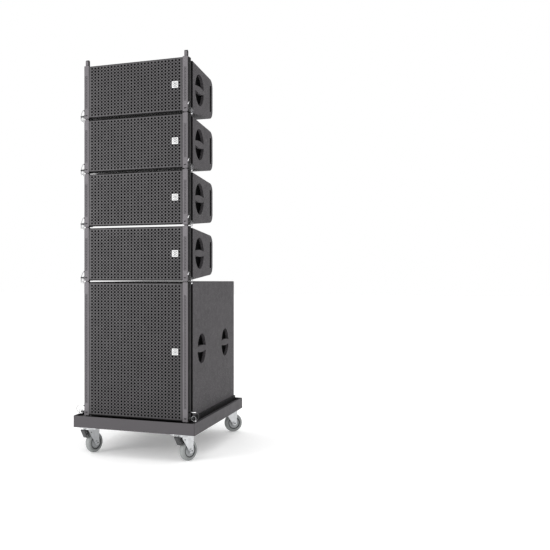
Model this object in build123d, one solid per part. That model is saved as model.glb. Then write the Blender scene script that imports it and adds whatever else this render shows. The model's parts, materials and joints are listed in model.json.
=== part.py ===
from build123d import *
import math
import os

# A ground-stacked line array: four trapezoid cabinets pinned on a subwoofer, which is pinned on a
# wheeled dolly. Millimetres. X runs across from the middle, Y runs back from the cabinets' front
# plane and Z runs up from the floor. The written parts are moved so that the origin is on the floor,
# under the middle of the whole object.

# The stack
WIDTH = 540
ELEMENT_COUNT = 4
ELEMENT_HEIGHT = 259
ELEMENT_DEPTH = 394
TAPER_DEG = 4.6
REAR_RADIUS = 45
SUB_HEIGHT = 655
SUB_DEPTH = 798
SUB_REAR_RADIUS = 5
STACK_GAP = 6.5
PANEL = 15
EDGE_RADIUS = 4

# Front rails, link bars and the pins that hold one unit on the next
RAIL_WIDTH = 26
RAIL_DEPTH = 46
RAIL_WALL = 3
RAIL_EDGE_RADIUS = 3.5
RAIL_GROOVE = (3.5, 22)
RAIL_GROOVE_DEPTH = 2
RAIL_GROOVE_RISE = 53
GROOVE_END = 72
GROOVE_DEPTH = 12
LINK_X = 14
LINK_Y = 20
LINK_BURIED = 70
PIN_Y = 16
PIN_RISE = 15
PIN_RADIUS = 4
PIN_CLEARANCE = 0.08
PIN_TIP_INSET = 25
LINK_BOLT_RADIUS = 5
LINK_BOLT_DROP = 32
LINK_BOLT_CLEARANCE = 0.05
RAIL_WINDOW_TOP = 50
RAIL_WINDOW_LENGTH = 160
RAIL_WINDOW_WIDTH = 13
RAIL_WINDOW_DEPTH = 1.2
RAIL_HOLE_RADIUS = 1.6
RAIL_HOLE_PITCH = 14
PIN_SLOT = (12, 5)

# Grille and baffle
GRILLE_FRONT = 1.5
GRILLE_SHEET = 1.5
GRILLE_BACK = 11.5
GRILLE_MARGIN = 5.5
GRILLE_SIDE_GAP = 0.7
CABINET_FRONT = 12
BAFFLE_FRONT = 24
BAFFLE_BACK = 40
SUB_BAFFLE_FRONT = 84
SUB_BAFFLE_BACK = 104

# Side handles
HANDLE_Y = 176.5
HANDLE_RAISE = 4.5
HANDLE_WIDTH = 136
HANDLE_HEIGHT = 153
SUB_HANDLES_Y = (212, 619)
SUB_HANDLE_WIDTH = 130
SUB_HANDLE_HEIGHT = 148
GRIP_END = 20
GRIP_MIDDLE = 34
CUP_DEPTH = 32
CUP_ROUND = 20
CUP_WALL = 3
CUP_LEDGE = 3
CUP_FLANGE = 8

# Slot in each side near the back
SLOT_Y = (344, 366)
SLOT_HEIGHT = 132
SLOT_DEPTH = 30
SLOT_BLOCK = 42
SLOT_BLOCK_FRONT = 332

# Drivers
WOOFER_X = 140
WOOFER_FLANGE_THICK = 5
# Flange radius, cone depth, magnet radius and magnet length
WOOFER = (83, 51, 52, 30)
SUB_WOOFER = (229, 135, 88, 42)
WOOFER_HOLE = 73
SUB_WOOFER_HOLE = 219
HORN_WIDTH = 68
HORN_HEIGHT = 188

# Rear input panels
PANEL_PLATE = (150, 84)
PLATE_THICK = 3
SOCKET_RADIUS = 13
SOCKET_SPACING = 70
SOCKET_LENGTH = 38

# Dolly
DOLLY_WIDTH = 627
DOLLY_FRONT = -32
DOLLY_BACK = 818
DOLLY_HEIGHT = 56
DOLLY_CORNER = 6
DOLLY_SHEET = 4
DECK_SHEET = 3
DECK_DROP = 12
SKID_X = 200
SKID_WIDTH = 40
GUIDE_FRONT = 90
GUIDE_RISE = 14
GUIDE_SHEET = 5
GUIDE_GAP = 1

# Casters, all four on king pins; a caster's own Y runs back from its king pin towards its axle
CASTER_HEIGHT = 132
WHEEL_RADIUS = 50
WHEEL_WIDTH = 32
TREAD_INNER = 35
AXLE_RADIUS = 6
BORE_CLEARANCE = 0.06
CASTER_X = 245
CASTER_FRONT_Y = 16
CASTER_REAR_Y = 774
TRAIL = 28
# How far each caster has turned from straight back towards the right
TURNS = {"front_left": 20, "front_right": 28, "rear_left": 38, "rear_right": 52}
CASTER_PLATE = (102, 85)
CASTER_PLATE_THICK = 3
CASTER_BOLTS = (40, 32)
FORK_INNER = 18
FORK_SHEET = 3
FORK_CROWN_RADIUS = 34
FORK_CROWN_TOP = 124
FORK_CROWN_THICK = 4
FORK_EYE = 13
KINGPIN_RADIUS = 6
PEDAL_PIVOT = (-12, 106)
PEDAL_WIDTH = 26

# Retaining pins and their wire lanyards. Places are outwards from the rail's outer face, back from
# the pin and up from its axis. A pin's ring hangs, except at the bass unit, where it stands out.
HEAD_RADIUS = 7.5
HEAD_LENGTH = 6.5
NECK_LENGTH = 19.5
RING_RADIUS = 11
RING_WIRE = 1.3
EYE_RADIUS = 2.6
HANGING_RING = (15, 0, -11.8)
RAISED_RING = (24, 0, 0)
STUD_LENGTH = 8
STUD_RADIUS = 4
STUD_RISE = 29
LANYARD_DIAMETER = 2
ELEMENT_ROUTE = (
    (5, -4, 29), (5, -14, 29), (5, -26, 20), (6, -32, 6), (9, -31, -9), (13, -24, -20.5),
    (15, -13, -26.5), (15, -4, -26.5),
)  # fmt: skip
SUB_ROUTE = ((8, 0, 29), (22, 0, 29), (38, 0, 31.5), (49, 0, 20), (48.6, 0, 4.1), (37.1, 0, -7.4))
FERRULE_RADIUS = 2.2
FERRULE_LENGTH = 8

HALF = WIDTH / 2
RAIL_INSIDE = HALF - RAIL_WIDTH
RAIL_MIDDLE = HALF - RAIL_WIDTH / 2
TAPER = math.tan(math.radians(TAPER_DEG))
SUB_BOTTOM = CASTER_HEIGHT + DOLLY_HEIGHT
SUB_TOP = SUB_BOTTOM + SUB_HEIGHT
DECK_TOP = SUB_BOTTOM - DECK_DROP
PITCH = ELEMENT_HEIGHT + STACK_GAP
BIG = 2000


def element_bottom(number):
    """Elements are numbered from the top of the stack down."""
    return SUB_TOP + STACK_GAP + (ELEMENT_COUNT - number) * PITCH


def block(x, y, z):
    """A box between two limits on each axis."""
    size = [high - low for low, high in (x, y, z)]
    middle = [(high + low) / 2 for low, high in (x, y, z)]
    return Pos(*middle) * Box(*size)


def rod_x(start, end, radius, y, z):
    """A cylinder along X."""
    length = abs(end - start)
    return Pos((start + end) / 2, y, z) * Rot(0, 90, 0) * Cylinder(radius, length)


def rod_y(start, end, radius, x, z):
    """A cylinder along Y."""
    return Pos(x, (start + end) / 2, z) * Rot(90, 0, 0) * Cylinder(radius, end - start)


def on_left(shape):
    """The same shape on the other side of the object."""
    return mirror(shape, Plane.YZ)


def pair(shape):
    """A shape on the right and its twin on the left."""
    return Compound([*shape.solids(), *on_left(shape).solids()])


def prism(front, back, half_height, taper, radius, half_width, middle_z):
    """A block that is half_height high each way at Y = 0 and gets lower towards its rounded back."""
    low_front = half_height - taper * front
    low_back = half_height - taper * back
    outline = make_face(
        Polyline(
            (front, -low_front),
            (back, -low_back),
            (back, low_back),
            (front, low_front),
            close=True,
        )
    )
    rear_corners = outline.vertices().sort_by(Axis.X)[-2:]
    outline = fillet(rear_corners, radius)
    return extrude(Plane.YZ * Pos(0, middle_z) * outline, half_width, both=True)


def handle_hole(width, height, thickness):
    """The upper and lower finger holes on each side of a grip whose edges bulge, cut along X."""
    oval = Ellipse(width / 2, height / 2)
    end, middle = GRIP_END / 2, GRIP_MIDDLE / 2
    reach = width / 2 + 1
    grip = make_face(
        [
            ThreePointArc((-reach, end), (0, middle), (reach, end)),
            Line((reach, end), (reach, -end)),
            ThreePointArc((reach, -end), (0, -middle), (-reach, -end)),
            Line((-reach, -end), (-reach, end)),
        ]
    )
    return extrude(Plane.YZ * (oval - grip), thickness)


def bowl(half_w, half_h, depth, rounding):
    """An oval bowl's outside or inside, from X = 0 inwards, with its bottom edge rounded."""
    solid = extrude(Plane.YZ * Ellipse(half_w, half_h), -depth)
    return fillet(solid.faces().sort_by(Axis.X)[0].edges(), rounding)


def handle_cup(width, height, wall_inside):
    """The cup behind a side handle, closed inwards, with its flange against the side panel."""
    half_w, half_h = width / 2 + CUP_LEDGE, height / 2 + CUP_LEDGE
    body = bowl(half_w + CUP_WALL, half_h + CUP_WALL, CUP_DEPTH, CUP_ROUND + CUP_WALL)
    flange = extrude(Plane.YZ * Ellipse(half_w + CUP_FLANGE, half_h + CUP_FLANGE), -CUP_WALL)
    hollow = bowl(half_w, half_h, CUP_DEPTH - CUP_WALL, CUP_ROUND)
    return Pos(wall_inside, 0, 0) * (body + flange - hollow)


def shell(bottom, height, depth, taper, radius, baffle):
    """A cabinet of glued panels: a box with its baffle, stepped in behind and between the rails."""
    middle = bottom + height / 2
    z = (bottom - 1, bottom + height + 1)
    baffle_front, baffle_back = baffle
    box = prism(CABINET_FRONT, depth, height / 2, taper, radius, HALF, middle)
    by_x = box.faces().sort_by(Axis.X)
    box = fillet([*by_x[0].edges(), *by_x[-1].edges()], min(EDGE_RADIUS, radius - 1))
    rail_seat = block((RAIL_INSIDE - 0.4, HALF + 1), (0, RAIL_DEPTH), z)
    groove = block((HALF - GROOVE_DEPTH, HALF + 1), (RAIL_DEPTH - 1, GROOVE_END), z)
    inside_radius = max(radius - PANEL, 1)
    room = prism(
        baffle_back, depth - PANEL, height / 2 - PANEL, taper, inside_radius, HALF - PANEL, middle
    )
    front_room = prism(0, baffle_front, height / 2 - PANEL, taper, 0.5, HALF - PANEL, middle)
    thick_rail = block((RAIL_INSIDE - PANEL, HALF), (0, RAIL_DEPTH + PANEL), z)
    thick_groove = block((HALF - GROOVE_DEPTH - PANEL, HALF), (0, GROOVE_END + PANEL), z)
    kept = thick_rail + thick_groove
    rooms = room + front_room - kept - on_left(kept)
    cuts = rail_seat + groove
    return box - cuts - on_left(cuts) - rooms


def rail(bottom, height, holes_from, holes_to):
    """A right-hand rail: an open box tube with pin, bolt and label-strip holes, and a lanyard stud."""
    top = bottom + height
    outline = Pos(RAIL_MIDDLE, RAIL_DEPTH / 2) * Rectangle(RAIL_WIDTH, RAIL_DEPTH)
    front_corner = outline.vertices().sort_by(lambda vertex: vertex.X - vertex.Y)[-1]
    outline = fillet(front_corner, RAIL_EDGE_RADIUS)
    tube = Pos(0, 0, bottom) * extrude(outline, height)
    groove_z = (bottom + RAIL_GROOVE_RISE, top + 1)
    groove = block((HALF - RAIL_GROOVE_DEPTH, HALF + 1), RAIL_GROOVE, groove_z)
    slot_wide, slot_high = PIN_SLOT
    pin_z = bottom + PIN_RISE
    pin_slot = block(
        (RAIL_MIDDLE - slot_wide / 2, RAIL_MIDDLE + slot_wide / 2),
        (-1, RAIL_WALL + 1),
        (pin_z - slot_high / 2, pin_z + slot_high / 2),
    )
    bore = block(
        (RAIL_INSIDE + RAIL_WALL, HALF - RAIL_WALL),
        (RAIL_WALL, RAIL_DEPTH - RAIL_WALL),
        (bottom - 1, top + 1),
    )
    across = (RAIL_INSIDE - 1, HALF + 1)
    pin_hole = rod_x(*across, PIN_RADIUS + PIN_CLEARANCE, PIN_Y, bottom + PIN_RISE)
    bolt_hole = rod_x(
        *across, LINK_BOLT_RADIUS + LINK_BOLT_CLEARANCE, PIN_Y, top - LINK_BOLT_DROP
    )
    half_window = RAIL_WINDOW_WIDTH / 2
    window = block(
        (RAIL_MIDDLE - half_window, RAIL_MIDDLE + half_window),
        (-1, RAIL_WINDOW_DEPTH),
        (top - holes_to, top - holes_from),
    )
    count = int((holes_to - holes_from) / RAIL_HOLE_PITCH)
    first = top - (holes_from + holes_to) / 2 - (count - 1) * RAIL_HOLE_PITCH / 2
    holes = [
        rod_y(-1, RAIL_WALL + 1, RAIL_HOLE_RADIUS, RAIL_MIDDLE, first + i * RAIL_HOLE_PITCH)
        for i in range(count)
    ]
    stud = rod_x(HALF, HALF + STUD_LENGTH, STUD_RADIUS, PIN_Y, bottom + PIN_RISE + STUD_RISE)
    return tube + stud - [bore, groove, pin_slot, pin_hole, bolt_hole, window, *holes]


def link_outline(foot):
    """A link bar's side view about the pin's axis, from foot below it to its round top."""
    half = LINK_Y / 2
    return make_face(
        [
            ThreePointArc((half, 0), (0, half), (-half, 0)),
            Line((-half, 0), (-half, -foot)),
            Line((-half, -foot), (half, -foot)),
            Line((half, -foot), (half, 0)),
        ]
    )


def link_bar(pin_z, foot):
    """A right-hand bar that stands up into the unit above, drilled for that unit's pin."""
    bar = extrude(Plane.YZ * link_outline(foot), LINK_X / 2, both=True)
    bar = Pos(RAIL_MIDDLE, PIN_Y, pin_z) * bar
    return bar - rod_x(RAIL_INSIDE, HALF, PIN_RADIUS + PIN_CLEARANCE, PIN_Y, pin_z)


def unit_link_bar(unit_top):
    """A link bar held in the top of its own unit's rail by a cross bolt."""
    pin_z = unit_top + STACK_GAP + PIN_RISE
    bar = link_bar(pin_z, STACK_GAP + PIN_RISE + LINK_BURIED)
    bolt = rod_x(RAIL_INSIDE, HALF, LINK_BOLT_RADIUS, PIN_Y, unit_top - LINK_BOLT_DROP)
    return bar + bolt


def grille(bottom, height):
    """A folded sheet cover between the rails, open at the back."""
    half = RAIL_INSIDE - GRILLE_SIDE_GAP
    z = (bottom + GRILLE_MARGIN, bottom + height - GRILLE_MARGIN)
    cover = block((-half, half), (GRILLE_FRONT, GRILLE_BACK), z)
    inside = block(
        (-half + GRILLE_SHEET, half - GRILLE_SHEET),
        (GRILLE_FRONT + GRILLE_SHEET, GRILLE_BACK + 1),
        (z[0] + GRILLE_SHEET, z[1] - GRILLE_SHEET),
    )
    return cover - inside


def turned(outline, x, z):
    """A solid of revolution about an axis along Y; the outline is (radius, Y) points."""
    face = make_face(Polyline(*outline, close=True))
    return Pos(x, 0, z) * revolve(face, Axis.Y, 360)


def woofer(size, baffle_front, x, z):
    """A cone driver on the front of its baffle: the basket with its magnet, and the cone."""
    flange, cone_depth, magnet, magnet_length = size
    front = baffle_front - WOOFER_FLANGE_THICK
    rim, cap = flange - 21, 0.25 * flange
    basket = [
        (flange - 15, 0), (flange, 0), (flange, WOOFER_FLANGE_THICK),
        (flange - 11, WOOFER_FLANGE_THICK), (0.75 * magnet, cone_depth), (magnet, cone_depth),
        (magnet, cone_depth + magnet_length), (0, cone_depth + magnet_length), (0, cone_depth - 4),
        (0.6 * magnet, cone_depth - 4), (flange - 17, 3),
    ]  # fmt: skip
    cone = [
        (0, 0.4 * cone_depth), (cap, 0.5 * cone_depth), (rim, 0), (rim + 3, 0), (rim + 3, 2.5),
        (cap, 0.5 * cone_depth + 3), (0, 0.4 * cone_depth + 3),
    ]  # fmt: skip
    return [turned([(r, front + y) for r, y in outline], x, z) for outline in (basket, cone)]


def horn(z):
    """The tweeter's slot waveguide with its compression driver."""
    flange = block(
        (-HORN_WIDTH / 2 - 8, HORN_WIDTH / 2 + 8),
        (BAFFLE_FRONT - 3, BAFFLE_FRONT),
        (z - HORN_HEIGHT / 2 - 6, z + HORN_HEIGHT / 2 + 6),
    )
    mouth_plane = Plane.XZ.offset(-BAFFLE_FRONT)
    throat_plane = Plane.XZ.offset(-130)
    body = loft(
        [
            mouth_plane * Pos(0, z) * Rectangle(HORN_WIDTH, HORN_HEIGHT),
            throat_plane * Pos(0, z) * Rectangle(34, 110),
        ]
    )
    hollow = loft(
        [
            Plane.XZ.offset(-BAFFLE_FRONT + 4) * Pos(0, z) * Rectangle(HORN_WIDTH - 6, HORN_HEIGHT - 6),
            Plane.XZ.offset(-126) * Pos(0, z) * Rectangle(14, 96),
        ]
    )
    driver = rod_y(130, 178, 44, 0, z)
    return [flange + body - hollow, driver]


def input_panel(x, z, depth):
    """A plate in the back wall with two round sockets."""
    wide, high = PANEL_PLATE
    plate = block(
        (x - wide / 2, x + wide / 2),
        (depth - PLATE_THICK - 1, depth - 1),
        (z - high / 2, z + high / 2),
    )
    sockets = []
    for side in (-1, 1):
        at = x + side * SOCKET_SPACING / 2
        body = rod_y(depth - SOCKET_LENGTH, depth - 0.5, SOCKET_RADIUS, at, z)
        mouth = rod_y(depth - SOCKET_LENGTH + 4, depth, SOCKET_RADIUS - 3, at, z)
        core = rod_y(depth - SOCKET_LENGTH + 3, depth - 4, SOCKET_RADIUS - 7, at, z)
        plate -= rod_y(depth - 10, depth, SOCKET_RADIUS, at, z)
        sockets.append(body - mouth + core)
    return Compound([*plate.solids(), *[s for socket in sockets for s in socket.solids()]])


def panel_hole(x, z, depth):
    """The hole for an input panel, with a ledge that the plate lies on."""
    wide, high = PANEL_PLATE
    seat = block(
        (x - wide / 2 - 0.3, x + wide / 2 + 0.3),
        (depth - PLATE_THICK - 1, depth + 1),
        (z - high / 2 - 0.3, z + high / 2 + 0.3),
    )
    through = block(
        (x - wide / 2 + 8, x + wide / 2 - 8),
        (depth - PANEL - 1, depth),
        (z - high / 2 + 8, z + high / 2 - 8),
    )
    return seat + through


def side_cuts(handle_places, width, height, z):
    """Handle holes through a right-hand side panel."""
    hole = handle_hole(width, height, PANEL + 2)
    return [Pos(HALF - PANEL - 1, y, z) * hole for y in handle_places]


def element_cabinet(number):
    """One trapezoid cabinet, with its baffle, side handle holes and rear slots."""
    bottom = element_bottom(number)
    middle = bottom + ELEMENT_HEIGHT / 2
    baffle = (BAFFLE_FRONT, BAFFLE_BACK)
    body = shell(bottom, ELEMENT_HEIGHT, ELEMENT_DEPTH, TAPER, REAR_RADIUS, baffle)
    z = (middle - SLOT_HEIGHT / 2, middle + SLOT_HEIGHT / 2)
    slot_block = block(
        (HALF - SLOT_BLOCK, HALF - PANEL + 1),
        (SLOT_BLOCK_FRONT, ELEMENT_DEPTH - PANEL + 1),
        (middle - 85, middle + 85),
    )
    slot = block((HALF - SLOT_DEPTH, HALF + 1), SLOT_Y, z)
    body = body + slot_block + on_left(slot_block)
    cuts = [slot, *side_cuts([HANDLE_Y], HANDLE_WIDTH, HANDLE_HEIGHT, middle + HANDLE_RAISE)]
    cuts += [on_left(cut) for cut in cuts]
    for x in (-WOOFER_X, WOOFER_X):
        cuts.append(rod_y(BAFFLE_FRONT - 1, BAFFLE_BACK + 1, WOOFER_HOLE, x, middle))
    cuts.append(
        block(
            (-HORN_WIDTH / 2 - 1, HORN_WIDTH / 2 + 1),
            (BAFFLE_FRONT - 1, BAFFLE_BACK + 1),
            (middle - HORN_HEIGHT / 2 - 1, middle + HORN_HEIGHT / 2 + 1),
        )
    )
    cuts.append(panel_hole(0, middle, ELEMENT_DEPTH))
    return body - cuts


def sub_cabinet():
    """The bass cabinet, with two handle holes a side, two slot ports and two skids."""
    middle = SUB_BOTTOM + SUB_HEIGHT / 2
    baffle = (SUB_BAFFLE_FRONT, SUB_BAFFLE_BACK)
    body = shell(SUB_BOTTOM, SUB_HEIGHT, SUB_DEPTH, 0, SUB_REAR_RADIUS, baffle)
    cuts = side_cuts(SUB_HANDLES_Y, SUB_HANDLE_WIDTH, SUB_HANDLE_HEIGHT, middle)
    cuts += [on_left(cut) for cut in cuts]
    woofer_z = SUB_TOP - PANEL - SUB_WOOFER[0] - 12
    cuts.append(rod_y(SUB_BAFFLE_FRONT - 1, SUB_BAFFLE_BACK + 1, SUB_WOOFER_HOLE, 0, woofer_z))
    for side in (-1, 1):
        cuts.append(
            block(
                (side * 130 - 85, side * 130 + 85),
                (SUB_BAFFLE_FRONT - 1, SUB_BAFFLE_BACK + 1),
                (SUB_BOTTOM + PANEL + 12, SUB_BOTTOM + PANEL + 78),
            )
        )
    cuts.append(panel_hole(0, middle, SUB_DEPTH))
    skid = block(
        (SKID_X - SKID_WIDTH / 2, SKID_X + SKID_WIDTH / 2), (80, 760), (DECK_TOP, SUB_BOTTOM + 1)
    )
    return body + skid + on_left(skid) - cuts


def pin(pin_z, ring_place, route):
    """A right-hand pin: shank, head and neck, the pull ring through it, and the lanyard's ferrule."""
    axis = (PIN_Y, pin_z)
    hangs = ring_place == HANGING_RING
    shank = rod_x(HALF - PIN_TIP_INSET, HALF + 1, PIN_RADIUS, *axis)
    head = rod_x(HALF + 0.4, HALF + 0.4 + HEAD_LENGTH, HEAD_RADIUS, *axis)
    neck = rod_x(HALF + HEAD_LENGTH, HALF + HEAD_LENGTH + NECK_LENGTH, PIN_RADIUS, *axis)
    out, _, up = ring_place
    ring = Rot(0, 90, 0) if hangs else Rot(90, 0, 0)
    ring = Pos(HALF + out, PIN_Y, pin_z + up) * ring * Torus(RING_RADIUS, RING_WIRE)
    eye = Cylinder(EYE_RADIUS, 4 * PIN_RADIUS)
    eye = Pos(0, 0, -0.6) * Rot(90, 0, 0) * eye if hangs else Pos(0.3 - RING_RADIUS, 0, 0) * eye
    eye = Pos(HALF + out, PIN_Y, pin_z) * eye
    end, before = Vector(*route[-1]), Vector(*route[-2])
    along = (end - before).normalized()
    middle = end + along * (FERRULE_LENGTH / 2)
    place = Vector(HALF + middle.X, PIN_Y + middle.Y, pin_z + middle.Z)
    ferrule = Plane(origin=place, z_dir=along) * Cylinder(FERRULE_RADIUS, FERRULE_LENGTH)
    return [shank + head + neck - eye, ring, ferrule]


def lanyard(pin_z, route):
    """A right-hand wire lanyard from the rail's stud to the ferrule on the pin's ring."""
    points = [(HALF + out, PIN_Y + back, pin_z + up) for out, back, up in route]
    runs = [Vector(*b) - Vector(*a) for a, b in zip(points, points[1:])]
    radii = []
    for one, two in zip(runs, runs[1:]):
        half_turn = math.radians(one.get_angle(two)) / 2
        radii.append(0.45 * min(one.length, two.length) / math.tan(half_turn))
    path = FilletPolyline(*points, radius=radii)
    start = Plane(origin=points[0], z_dir=runs[0])
    wire = sweep(start * Circle(LANYARD_DIAMETER / 2), path=path)
    fullness = wire.volume / path.length / math.pi / (LANYARD_DIAMETER / 2) ** 2
    print("lanyard length", round(path.length, 1), "radii", [round(r, 1) for r in radii], round(fullness, 4))
    return wire


def tray():
    """The dolly's tray: rim, deck, caster seats, stiffeners, guides and two lugs for the bass unit."""
    half = DOLLY_WIDTH / 2
    z = (CASTER_HEIGHT, SUB_BOTTOM)
    rim = block((-half, half), (DOLLY_FRONT, DOLLY_BACK), z)
    rim = fillet(rim.edges().filter_by(Axis.Z), DOLLY_CORNER)
    rim -= block(
        (-half + DOLLY_SHEET, half - DOLLY_SHEET),
        (DOLLY_FRONT + DOLLY_SHEET, DOLLY_BACK - DOLLY_SHEET),
        (z[0] - 1, z[1] + 1),
    )
    wide = (-half + DOLLY_SHEET - 1, half - DOLLY_SHEET + 1)
    deep = (DOLLY_FRONT + DOLLY_SHEET - 1, DOLLY_BACK - DOLLY_SHEET + 1)
    body = rim + block(wide, deep, (DECK_TOP - DECK_SHEET, DECK_TOP))
    for y in (CASTER_FRONT_Y, CASTER_REAR_Y):
        front = max(y - CASTER_PLATE[1] / 2, deep[0])
        back = min(y + CASTER_PLATE[1] / 2, deep[1])
        body += block(wide, (front, back), (z[0], z[0] + 4))
        for edge in (front, back - 4):
            body += block(wide, (edge, edge + 4), (z[0], DECK_TOP - 1))
    inside = HALF + GUIDE_GAP
    guide_z = (DECK_TOP - 1, SUB_BOTTOM + GUIDE_RISE)
    guide_back = (SUB_DEPTH + GUIDE_GAP, SUB_DEPTH + GUIDE_GAP + GUIDE_SHEET)
    guide = block((inside, inside + GUIDE_SHEET), (GUIDE_FRONT, guide_back[1]), guide_z)
    body += guide + on_left(guide) + block((-inside - 1, inside + 1), guide_back, guide_z)
    lug = link_bar(SUB_BOTTOM + PIN_RISE, PIN_RISE + DECK_DROP + 1)
    return body + lug + on_left(lug)


def caster_mount():
    """The fixed part of a caster: top plate with four bolt heads, bearing shoulder and king pin."""
    wide, deep = CASTER_PLATE
    under_plate = CASTER_HEIGHT - CASTER_PLATE_THICK
    body = block((-wide / 2, wide / 2), (-deep / 2, deep / 2), (under_plate, CASTER_HEIGHT))
    for dx in (-CASTER_BOLTS[0], CASTER_BOLTS[0]):
        for dy in (-CASTER_BOLTS[1], CASTER_BOLTS[1]):
            body += Pos(dx, dy, under_plate - 1.5) * Cylinder(5.5, 4)
    shoulder_low = FORK_CROWN_TOP + 0.3
    body += Pos(0, 0, (shoulder_low + under_plate + 1) / 2) * Cylinder(26, under_plate + 1 - shoulder_low)
    low = FORK_CROWN_TOP - FORK_CROWN_THICK - 0.3
    body += Pos(0, 0, (low - 6 + under_plate + 1) / 2) * Cylinder(KINGPIN_RADIUS, under_plate + 7 - low)
    return body + Pos(0, 0, low - 3) * Cylinder(10, 6)


def fork(braked):
    """A swivelling fork about its king pin: crown, two cheeks and the axle bolt with its head and nut."""
    crown_low = FORK_CROWN_TOP - FORK_CROWN_THICK
    crown = Pos(0, 0, FORK_CROWN_TOP - FORK_CROWN_THICK / 2) * Cylinder(FORK_CROWN_RADIUS, FORK_CROWN_THICK)
    top = crown_low + 1
    web = make_face(
        Polyline(
            (-27, top), (-27, crown_low - 8), (TRAIL - FORK_EYE, WHEEL_RADIUS),
            (TRAIL + FORK_EYE, WHEEL_RADIUS), (TRAIL + 17, top),
            close=True,
        )
    )  # fmt: skip
    cheek = extrude(Plane.YZ * (web + Pos(TRAIL, WHEEL_RADIUS) * Circle(FORK_EYE)), FORK_SHEET)
    cheek = Pos(FORK_INNER, 0, 0) * cheek
    body = crown + cheek + on_left(cheek)
    body -= Cylinder(KINGPIN_RADIUS + BORE_CLEARANCE, BIG)
    if braked:
        along, up = PEDAL_PIVOT
        body -= rod_x(-BIG / 2, BIG / 2, 3 + BORE_CLEARANCE, along, up)
    out = FORK_INNER + FORK_SHEET
    body += rod_x(-out - 5, out + 5, AXLE_RADIUS, TRAIL, WHEEL_RADIUS)
    return body + rod_x(-out - 6, -out, 9, TRAIL, WHEEL_RADIUS) + rod_x(out, out + 6, 9, TRAIL, WHEEL_RADIUS)


def wheel():
    """A wheel with a tread ring on a narrower core, on the axle of its fork."""
    half = WHEEL_WIDTH / 2
    bore = AXLE_RADIUS + BORE_CLEARANCE
    core = [
        (bore, -half), (14, -half), (18, -half + 7), (TREAD_INNER, -half + 5), (TREAD_INNER, half - 5),
        (18, half - 7), (14, half), (bore, half),
    ]  # fmt: skip
    tread = [
        (TREAD_INNER, -half + 3), (WHEEL_RADIUS - 8, -half), (WHEEL_RADIUS, -half + 8),
        (WHEEL_RADIUS, half - 8), (WHEEL_RADIUS - 8, half), (TREAD_INNER, half - 3),
    ]  # fmt: skip
    solids = []
    for outline in (core, tread):
        face = make_face(Polyline(*[(across, r) for r, across in outline], close=True))
        solids += (Pos(0, TRAIL, WHEEL_RADIUS) * revolve(Plane.XZ * face, Axis.X, 360)).solids()
    return Compound(solids)


def pedal():
    """A brake pedal: pivot tube, arm under the crown, foot tab, and brake shoe above the tread."""
    along, up = PEDAL_PIVOT
    outline = make_face(
        Polyline(
            (-8, 111), (-47, 121.5), (-52, 117), (-31, 80), (-28, 81.5), (-35.5, 96.5), (-15, 85.5),
            (-13, 88), (-38, 103.5), (-44.5, 115.5), (-10, 103),
            close=True,
        )
    )  # fmt: skip
    arm = extrude(Plane.YZ * outline, PEDAL_WIDTH / 2, both=True)
    tube = rod_x(-PEDAL_WIDTH / 2, PEDAL_WIDTH / 2, 5, along, up)
    pivot = rod_x(-FORK_INNER - FORK_SHEET - 1, FORK_INNER + FORK_SHEET + 1, 3, along, up)
    return arm + tube + pivot


def add(name, *shapes):
    """Keep the solids of one node, still in design coordinates."""
    nodes[name] = [solid for shape in shapes for solid in shape.solids()]


def add_pins(unit, bottom, ring_place, route):
    """A unit's two pins and lanyards."""
    pin_z = bottom + PIN_RISE
    right = pin(pin_z, ring_place, route)
    wire = lanyard(pin_z, route)
    add(f"pin_{unit}_right", *right)
    add(f"pin_{unit}_left", *[on_left(piece) for piece in right])
    add(f"lanyards_{unit}", wire, on_left(wire))


def add_element(number):
    """Every node of one element."""
    bottom = element_bottom(number)
    middle = bottom + ELEMENT_HEIGHT / 2
    add(f"cabinet_{number}", element_cabinet(number))
    cup = handle_cup(HANDLE_WIDTH, HANDLE_HEIGHT, HALF - PANEL)
    add(f"handles_{number}", pair(Pos(0, HANDLE_Y, middle + HANDLE_RAISE) * cup))
    add(f"grille_{number}", grille(bottom, ELEMENT_HEIGHT))
    window = (RAIL_WINDOW_TOP, RAIL_WINDOW_TOP + RAIL_WINDOW_LENGTH)
    add(f"rails_{number}", pair(rail(bottom, ELEMENT_HEIGHT, *window)))
    add(f"link_bars_{number}", pair(unit_link_bar(bottom + ELEMENT_HEIGHT)))
    electrics = [*horn(middle), input_panel(0, middle, ELEMENT_DEPTH)]
    for x in (-WOOFER_X, WOOFER_X):
        electrics += woofer(WOOFER, BAFFLE_FRONT, x, middle)
    add(f"electrics_{number}", *electrics)
    add_pins(number, bottom, HANGING_RING, ELEMENT_ROUTE)


def add_sub():
    """Every node of the bass unit."""
    middle = SUB_BOTTOM + SUB_HEIGHT / 2
    add("sub_cabinet", sub_cabinet())
    cup = handle_cup(SUB_HANDLE_WIDTH, SUB_HANDLE_HEIGHT, HALF - PANEL)
    add("sub_handles", *[pair(Pos(0, y, middle) * cup) for y in SUB_HANDLES_Y])
    add("sub_grille", grille(SUB_BOTTOM, SUB_HEIGHT))
    add("sub_rails", pair(rail(SUB_BOTTOM, SUB_HEIGHT, 60, SUB_HEIGHT - 60)))
    add("sub_link_bars", pair(unit_link_bar(SUB_TOP)))
    woofer_z = SUB_TOP - PANEL - SUB_WOOFER[0] - 12
    drivers = woofer(SUB_WOOFER, SUB_BAFFLE_FRONT, 0, woofer_z)
    add("sub_electrics", *drivers, input_panel(0, middle, SUB_DEPTH))
    add_pins("sub", SUB_BOTTOM, RAISED_RING, SUB_ROUTE)


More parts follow.
